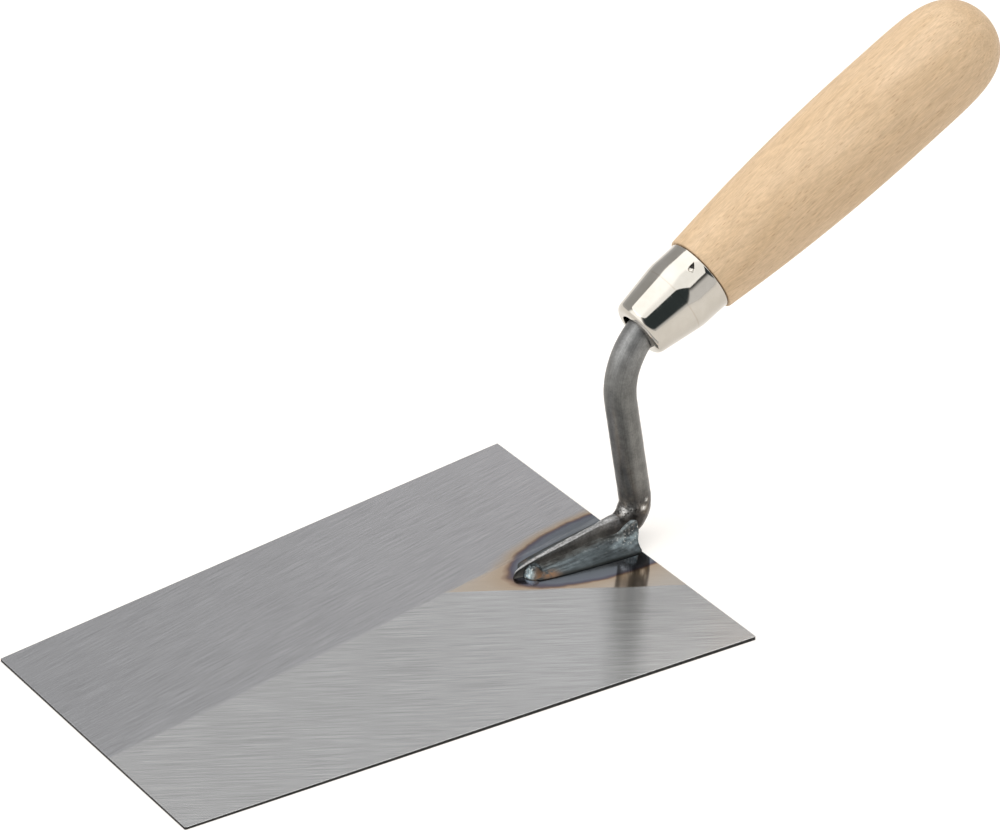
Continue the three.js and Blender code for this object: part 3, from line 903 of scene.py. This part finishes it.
def weld_section(distance, along, climb):
    """(across, height above the blade) from the weld's toe up to the crest inside the neck."""
    end = clamp(1 - (distance - WELD_REAR) / (3 * MM))
    toe = lerp(WELD_FRONT_TOE, WELD_REAR_TOE, along ** 0.6) * (1 - 0.28 * end * end)
    lump = climb * bell(distance, 0.6 * MM, 2.5 * MM)
    height = lerp(1.6, 4.2, smoothstep(along, 0.1, 0.95)) * MM
    on_bend = smoothstep(distance, 9 * MM, 3 * MM)
    crease_x = lerp(foot_side(distance, height) + 0.25 * MM, 3.7 * MM, on_bend) + 0.9 * MM * lump
    crease = (crease_x, height + 3.1 * MM * lump)
    hollow = lerp(0.10, 0.55, smoothstep(along, 0.3, 1))
    middle = (lerp(toe, crease[0], 0.5), crease[1] / 2)
    control = (lerp(middle[0], crease[0], hollow), lerp(middle[1], 0.3 * MM, hollow))
    start = (toe, WELD_TOE_STEP)
    top = (WELD_INNER, crease[1] + 0.5 * MM)
    over = curve(crease, (crease[0] - 0.3 * MM, top[1]), top, 6)
    face = [(toe - 0.05 * MM, -SUNK), start] + curve(start, control, crease, 26)
    return face + over + [(WELD_INNER, -SUNK)]


def weld_piece(name, node, side, climb, seed):
    steps = 190
    rings = []
    crust, rust, painted_shade, blend = [], [], [], []
    for k in range(steps + 1):
        along = 1 - (1 - k / steps) ** 1.3
        distance = lerp(WELD_FRONT, WELD_REAR, along)
        tail = clamp(1 - (distance - WELD_REAR) / (1.4 * MM))
        head = clamp(1 - (WELD_FRONT - distance) / (2.5 * MM))
        shrink = sqrt(max(0.02, 1 - tail ** 2)) * sqrt(max(0.02, 1 - head ** 2))
        heel = smoothstep(distance, 8 * MM, 0)
        section = weld_section(distance, along, climb)
        last = len(section) - 1
        ring = []
        for j, (across, up) in enumerate(section):
            share = j / last
            fade = sin(pi * clamp(share * 1.05)) ** 0.5 if 0 < j < last else 0
            rising = share * 6 + distance / (18 * MM)
            flow = rough_noise(distance / (8 * MM) + seed, rising, seed, 3)
            lumps = rough_noise(distance / (2.6 * MM), share * 3.2, seed + 7, 2)
            swell = (0.20 * flow + (0.05 + 0.42 * heel) * lumps) * fade * MM
            across = WELD_INNER + (across + swell * 0.6 - WELD_INNER) * shrink
            up = (up + swell * 0.8) * (shrink if j not in (0, last) else 1)
            lean = 1.7 * MM * heel * heel * smoothstep(up, 0.5 * MM, 4.5 * MM)
            ring.append(Vector((side * across, REAR_EDGE - distance + lean, BLADE_TOP + up)))
            heel_crust = 0.6 * heel * bell(share, 0.62, 0.24)
            crust.append(clamp(heel_crust + 0.06 * bell(share, 0.6, 0.3)))
            tip_rust = bell(distance, 29.6 * MM, 2.6 * MM) * bell(share, 0.22, 0.2)
            rust.append(climb * (tip_rust + 0.3 * heel * bell(share, 0.70, 0.12)))
            # Painted shade along the toe, where the weld meets the blade
            painted_shade.append(1 - smoothstep(share, 0.03, lerp(0.30, 0.10, along)))
            blend.append(smoothstep(share, 0.52, 0.80) * (1 - heel))
        if side > 0:
            ring.reverse()
            for values in (crust, rust, painted_shade, blend):
                values[-len(ring):] = values[-len(ring):][::-1]
        rings.append(ring)
    masks = {"crust": crust, "rust": rust, "painted_shade": painted_shade, "blend": blend}
    make_piece(name, node, loft(rings), [WELD_METAL], 50, masks=masks)


def crater_height(x, y):
    """Height of the crater's crust at a place in a circle of radius 1, and how near the pit is."""
    far = hypot(x, y)
    tail = smoothstep(0.8 * x + 0.6 * y, 0.0, 0.9)
    lumps = 0.20 * rough_noise(x * 1.5 + 3, y * 1.5, 0, 2)
    lumps += 0.08 * rough_noise(x * 4, y * 4, 4, 2)
    dome = (1 - min(1, far) ** lerp(3.4, 1.3, tail)) ** lerp(0.7, 1.0, tail)
    from_pit = hypot(x - 0.02, y - 0.10)
    pit = bell(from_pit, 0, 0.26)
    lip = bell(from_pit, 0.42, 0.16)
    slope = 0.22 * smoothstep(-y, 0.1, 0.9) + 0.26 * smoothstep(x, 0.1, 1.0)
    slope += 0.34 * smoothstep(y + 0.4 * x, 0.1, 0.9)
    return dome * (0.84 + lumps - 0.34 * pit + 0.10 * lip - slope), pit


def crater_piece():
    levels = 40
    rings = []
    crust, rust, painted_shade = [], [], []
    for j in range(levels):
        out = cos(j / (levels - 1) * pi / 2 * 0.985)
        ring = []
        for turn in turns(84):
            x, y = out * cos(turn), out * sin(turn)
            height, pit = crater_height(x, y)
            wide = 1 + 0.07 * rough_noise(cos(turn) * 1.3, sin(turn) * 1.3, 2, 2)
            wide += 0.22 * smoothstep(0.8 * x + 0.6 * y, 0.0, 0.9)
            ring.append(Vector((
                CRATER_TO_RIGHT + CRATER_SIZE.x * x * wide,
                REAR_EDGE - CRATER_FROM_REAR + CRATER_SIZE.y * y * wide,
                BLADE_TOP + (CRATER_SIZE.z * height if j else -SUNK),
            )))
            front = bell(x, 0.35, 0.55) * bell(y, -0.62, 0.36)
            crust.append(clamp(1.7 * front + 0.5 * bell(x, -0.65, 0.25) * bell(y, -0.3, 0.6)))
            rust.append(bell(x, 0.85, 0.40) * bell(y, 0.2, 0.75))
            # Painted shade in the pit and round the rim on the front and left
            open_side = 1 - smoothstep(y + 0.4 * x, 0.0, 0.5)
            painted_shade.append(clamp(0.85 * pit + 0.9 * smoothstep(out, 0.95, 0.995) * open_side))
        rings.append(ring)
    masks = {"crust": crust, "rust": rust, "painted_shade": painted_shade}
    make_piece("weld_crater", "weld_tip", loft(rings), [WELD_METAL], 60, masks=masks)


# ---- ferrule and handle, in their own frame: Z along the axis from the mouth, -Y on top ----

HANDLE_TURN = Matrix.Rotation(HANDLE_ANGLE - pi / 2, 4, "X")
HANDLE_FRAME = Matrix.Translation((0, *on_handle_axis(0))) @ HANDLE_TURN


def turned(radius, along, angle):
    return Vector((radius * sin(angle), -radius * cos(angle), along))


def cone_radius(distance):
    return lerp(FERRULE_MOUTH_RADIUS, FERRULE_RADIUS, distance / CONE_LENGTH)


def drawn_radius(distance):
    """Radius of the plated cone, which is drawn a little fuller than a straight one."""
    return lerp(FERRULE_MOUTH_RADIUS, CREASE_RADIUS, distance / CREASE)


def ferrule_profile():
    """(radius, distance) outside from the hole to the rim, then back inside."""
    lip, wall = LIP_RADIUS, FERRULE_WALL
    hole_rim = HOLE_RADIUS + 0.12 * MM
    corner = (FERRULE_MOUTH_RADIUS, 0.0)
    lip_end = (drawn_radius(lip), lip)
    outside = [(lerp(hole_rim, FERRULE_MOUTH_RADIUS - lip, k / 8), 0.0) for k in range(9)]
    outside[0] = (hole_rim, 0.02 * MM)
    outside += curve(outside[-1], corner, lip_end, 10)
    cone = [lerp(lip, CREASE - CREASE_LINE, share) for share in shares(20)]
    outside += [(drawn_radius(s), s) for s in cone]
    outside.append((drawn_radius(CREASE), CREASE))
    slope = (CREASE_RADIUS - FERRULE_MOUTH_RADIUS) / CREASE
    shoulder = (FERRULE_RADIUS, CREASE + (FERRULE_RADIUS - CREASE_RADIUS) / slope)
    turn_end = (FERRULE_RADIUS, BAND_START)
    outside += curve(outside[-1], shoulder, turn_end, 14)
    band_end = FERRULE_LENGTH - 1.3 * MM
    for share in shares(38):
        s = lerp(BAND_START, band_end, share)
        outside.append((FERRULE_RADIUS - 0.02 * MM * sin(share * pi), s))
    for share in shares(8):
        s = lerp(band_end, FERRULE_LENGTH - 0.12 * MM, share)
        outside.append((FERRULE_RADIUS + 0.10 * MM * share ** 2, s))
    outside.append((FERRULE_RADIUS + 0.07 * MM, FERRULE_LENGTH - 0.04 * MM))
    outside.append((FERRULE_RADIUS - 0.02 * MM, FERRULE_LENGTH))
    inside = [
        (FERRULE_RADIUS - wall, FERRULE_LENGTH),
        (FERRULE_RADIUS - wall, CONE_LENGTH),
        (cone_radius(lip + wall) - wall, lip + wall),
        (FERRULE_MOUTH_RADIUS - wall - lip, wall),
        (hole_rim, wall),
        (HOLE_RADIUS, wall / 2),
    ]
    return outside, inside


def nib_depth(turn, distance):
    """How deep the locking nib's punch has pushed the band in, and the share of the open pocket."""
    around = (turn - NIB_TURN) * FERRULE_RADIUS
    past = distance - NIB_DISTANCE
    along = past * cos(NIB_SKEW) - around * sin(NIB_SKEW)
    across = past * sin(NIB_SKEW) + around * cos(NIB_SKEW)
    half = NIB_RADIUS * (NIB_POINT - along) / (NIB_POINT - NIB_BASE)
    pocket = smoothstep(min(half - abs(across), along - NIB_BASE), -0.05 * MM, 0.08 * MM)
    far = hypot(across, along)
    dimple = clamp(1 - (far / NIB_RADIUS) ** 2) ** 0.6
    rim = bell(far, NIB_RADIUS + 0.12 * MM, 0.14 * MM)
    return 0.6 * MM * pocket + (0.42 * MM * dimple - 0.05 * MM * rim) * (1 - pocket), pocket


def ferrule_piece():
    outside, inside = ferrule_profile()
    fine = radians(9)  # the nib's part of the turn, which has closer points
    angles = [turn - pi for turn in turns(168)]
    angles = [a for a in angles if abs(a - NIB_TURN) > fine]
    angles += [NIB_TURN + fine * k / 30 for k in range(-30, 31)]
    angles.sort()
    rings = []
    pockets = []
    line = []
    for radius, distance in outside:
        ring = []
        for a in angles:
            depth, pocket = nib_depth(a, distance)
            ring.append(turned(radius - depth, distance, a))
            pockets.append(pocket)
            line.append(clamp(1 - abs(distance - CREASE) / CREASE_LINE))
        rings.append(ring)
    for radius, distance in inside:
        rings.append([turned(radius, distance, a) for a in angles])
        pockets += [0.0] * len(angles)
    points, faces = loft(rings, closed=True)
    # Faces inside the pocket take the painted shade
    chosen = [int(min(pockets[k] for k in face) > 0.5) for face in faces]
    nickel = new_material("nickel_plate", build_nickel, Metallic=1.0)
    pocket_shade_material = new_material("painted_pocket_shade", build_pocket_shade, Metallic=0.3, Roughness=0.7)
    skin = [HANDLE_FRAME @ point for point in points], faces
    materials = [nickel, pocket_shade_material]
    make_piece("nickel_ferrule", "ferrule", skin, materials, 55, chosen, {"line": line})


def handle_radius(distance):
    if distance < HANDLE_THICKEST:
        before = (HANDLE_THICKEST - distance) / (HANDLE_THICKEST - HANDLE_FRONT)
        return HANDLE_MAX_RADIUS - (HANDLE_MAX_RADIUS - HANDLE_FRONT_RADIUS) * before * before
    along = (distance - HANDLE_THICKEST) / (HANDLE_END - HANDLE_THICKEST)
    return HANDLE_MAX_RADIUS * sqrt(max(0, 1 - along ** BUTT_POWER))


def handle_profile():
    """(radius, distance) from the bore's end, out over the nose and the grip to the butt."""
    bore = TANG_TIP_RADIUS + CLEARANCE
    bore_end = UPPER_BEND_INSIDE + TANG_LENGTH
    gap = FERRULE_WALL + CLEARANCE
    chamfer = 0.45 * MM
    nose_radius = FERRULE_RADIUS - gap
    face = (HANDLE_FRONT_RADIUS - chamfer, HANDLE_FRONT)
    profile = [
        (bore, bore_end + BORE_SPARE),
        (bore, bore_end),
        (ROD_RADIUS + CLEARANCE, NOSE_START),
        (cone_radius(NOSE_START) - gap, NOSE_START),
        (nose_radius, CONE_LENGTH),
        (nose_radius, HANDLE_FRONT),
    ]
    profile += [(lerp(nose_radius, face[0], share), HANDLE_FRONT) for share in shares(4)]
    first = HANDLE_FRONT + chamfer
    corner = (HANDLE_FRONT_RADIUS, HANDLE_FRONT)
    profile += curve(face, corner, (handle_radius(first), first), 5)
    grip = [lerp(first, HANDLE_THICKEST, share) for share in shares(70)]
    profile += [(handle_radius(distance), distance) for distance in grip]
    butt_steps = 56
    for k in range(2, butt_steps):
        share = cos(k / butt_steps * pi / 2)
        distance = lerp(HANDLE_THICKEST, HANDLE_END, (1 - share * share) ** (1 / BUTT_POWER))
        profile.append((handle_radius(distance), distance))
    return profile


def handle_piece():
    angles = turns(144)
    rings = []
    for radius, distance in handle_profile():
        ring = []
        for a in angles:
            sanding = rough_noise(1.5 * sin(a), 1.5 * cos(a), distance / (14 * MM), 2)
            sanded = 0.02 * MM + 0.03 * MM * clamp(0.5 + 0.5 * sanding)
            sanded *= smoothstep(distance, 26 * MM, 30 * MM)
            ring.append(turned(radius - sanded, distance, a))
        rings.append(ring)
    points, faces = loft(rings)
    beech = new_material("beech", build_beech, **{"Specular IOR Level": 0.35})
    skin = [HANDLE_FRAME @ point for point in points], faces
    make_piece("beech_handle", "handle", skin, [beech], 40)


# ---- studio ----


def floor():
    half = 4.0
    mesh = bpy.data.meshes.new("floor")
    corners = [(-half, -half, 0), (half, -half, 0), (half, half, 0), (-half, half, 0)]
    mesh.from_pydata(corners, [], [(0, 1, 2, 3)])
    paper = {"Base Color": (0.52, 0.50, 0.475), "Emission Color": (1, 0.975, 0.94)}
    lit = {"Emission Strength": 0.52, "Roughness": 0.9}
    mesh.materials.append(new_material("lit_paper", lambda graph: {}, **paper, **lit))
    add_object("floor", mesh)


def studio_world():
    """A plain grey room, with white walls on the right and in front, and an unlit corner."""
    world = bpy.data.worlds.new("studio")
    world.use_nodes = True
    graph = Graph(world.node_tree)
    x, y, z = graph.separate(graph.node("TexCoord").outputs["Generated"])
    azimuth = graph.math("DEGREES", graph.math("ARCTAN2", x, graph.times(y, -1)))
    elevation = graph.math("DEGREES", graph.math("ARCSINE", z))
    wall = graph.smooth(elevation, 0, 16, 0.68, 0.54)
    white_wall = graph.window(azimuth, 82, 87, 108, 116)
    wall = graph.mix_value(white_wall, wall, graph.smooth(elevation, 26, 38, 0.97, 0.06))
    in_front = graph.window(azimuth, -45, -30, 12, 30)
    in_front = graph.times(in_front, graph.one_minus(graph.smooth(elevation, 40, 50)))
    wall = graph.mix_value(in_front, wall, 2.0)
    unlit = graph.times(graph.window(azimuth, 15, 40, 82, 87), graph.smooth(elevation, 1, 8))
    wall = graph.mix(unlit, wall, (0.050, 0.064, 0.068))
    below = graph.one_minus(graph.smooth(elevation, -1.5, -0.5))
    wall = graph.mix(below, wall, (1.0, 1.0, 1.0))
    background = graph.node("Background", {"Color": wall})
    graph.node("OutputWorld", {"Surface": background.outputs[0]})
    bpy.context.scene.world = world


SOFTBOX_HEIGHT = 2.0
SOFTBOX_AZIMUTH = radians(50.3)  # its near edge faces that way
SOFTBOX_NEAR = 0.93  # reach, as a share of its height
SOFTBOX_FAR = 0.75
SOFTBOX_LEFT = 1.05
SOFTBOX_RIGHT = 0.95
SOFTBOX_FLAG = -0.837  # a straight flag along Y covers what is left of it
SOFTBOX_RADIANCE = 1.6


def softbox():
    """One large soft light overhead."""
    data = bpy.data.lights.new("softbox", "AREA")
    data.shape = "RECTANGLE"
    data.size = (SOFTBOX_LEFT + SOFTBOX_RIGHT) * SOFTBOX_HEIGHT
    data.size_y = (SOFTBOX_NEAR + SOFTBOX_FAR) * SOFTBOX_HEIGHT
    data.energy = SOFTBOX_RADIANCE * pi * data.size * data.size_y
    data.use_nodes = True
    graph = Graph(data.node_tree)
    x = graph.separate(graph.node("NewGeometry").outputs["Position"])[0]
    lit = graph.math("GREATER_THAN", x, SOFTBOX_FLAG * SOFTBOX_HEIGHT)
    emission = graph.node("Emission", {"Strength": lit})
    graph.node("OutputLight", {"Surface": emission.outputs[0]})
    turn = Matrix.Rotation(SOFTBOX_AZIMUTH, 4, "Z")
    middle = Vector((SOFTBOX_RIGHT - SOFTBOX_LEFT, SOFTBOX_FAR - SOFTBOX_NEAR, 2))
    outward = Matrix.Translation(middle * SOFTBOX_HEIGHT / 2)
    lamp = add_object("softbox", data)
    lamp.matrix_world = Matrix.Translation((0, REAR_EDGE, 0)) @ turn @ outward


CAMERA_AZIMUTH = radians(55.22)
CAMERA_ELEVATION = radians(31.08)
CAMERA_ROLL = radians(-0.15)
CAMERA_DISTANCE = 1.4303
CAMERA_TARGET = Vector((-0.03578, 0.07146, 0.03121))
CAMERA_LENS = 176.87


def camera():
    data = bpy.data.cameras.new("camera")
    data.lens = CAMERA_LENS
    data.sensor_width = 36
    data.sensor_fit = "HORIZONTAL"
    data.clip_end = 20
    lens = add_object("camera", data)
    back = Vector((
        sin(CAMERA_AZIMUTH) * cos(CAMERA_ELEVATION),
        -cos(CAMERA_AZIMUTH) * cos(CAMERA_ELEVATION),
        sin(CAMERA_ELEVATION),
    ))
    lens.location = CAMERA_TARGET + back * CAMERA_DISTANCE
    turn = (-back).to_track_quat("-Z", "Y").to_matrix() @ Matrix.Rotation(CAMERA_ROLL, 3, "Z")
    lens.rotation_euler = turn.to_euler()
    bpy.context.scene.camera = lens


# ---- the scene ----

WELD_METAL = new_material("weld_metal", build_weld_metal)

camera()
softbox()
studio_world()
floor()
blade_piece()
neck_piece()
weld_piece("weld_bead_left", "weld_left", -1, 0.35, 3.0)
weld_piece("weld_bead_right", "weld_right", 1, 1.0, 11.0)
crater_piece()
ferrule_piece()
handle_piece()
bpy.context.scene.view_settings.view_transform = "Standard"
